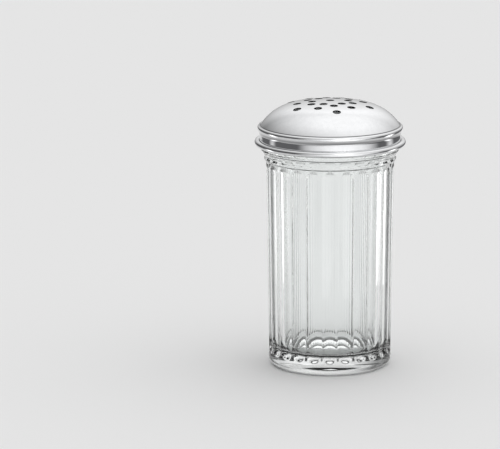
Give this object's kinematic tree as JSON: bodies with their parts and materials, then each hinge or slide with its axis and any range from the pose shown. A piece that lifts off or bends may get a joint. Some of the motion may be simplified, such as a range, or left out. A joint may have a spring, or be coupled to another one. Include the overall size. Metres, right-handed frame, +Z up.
{
  "type": "grated cheese shaker",
  "caption": "Clear fluted glass jar with a domed, perforated polished steel screw lid, for shaking out grated cheese or spice; the lid unscrews on the neck.",
  "frame": {"origin": "centre of the ring that the glass stands on, at table height", "axes": "+Z up along the jar's axis, -Y toward the picture's viewer, +X to the viewer's right"},
  "size_m": [0.0804, 0.0804, 0.1427],
  "materials": {
    "clear_glass": "pressed clear soda-lime glass, fire polished",
    "polished_steel": "mirror-polished stainless sheet"
  },
  "bodies": {
    "jar": {"glass_jar": "clear_glass"},
    "lid_rim": {"rolled_rim": "polished_steel"},
    "lid": {"perforated_lid": "polished_steel"}
  },
  "joints": [
    {"name": "lid_rise", "type": "slide", "parent": "jar", "child": "lid_rim", "axis": [0, 0, 1], "range_m": [0, 0.0053]},
    {"name": "lid_turn", "type": "hinge", "parent": "lid_rim", "child": "lid", "pos_m": [0, 0, 0.122], "axis": [0, 0, 1], "range_deg": [0, 450]}
  ],
  "couplings": [
    {"joint": "lid_rise", "follows": "lid_turn", "m_per_rad": 0.00066845}
  ]
}
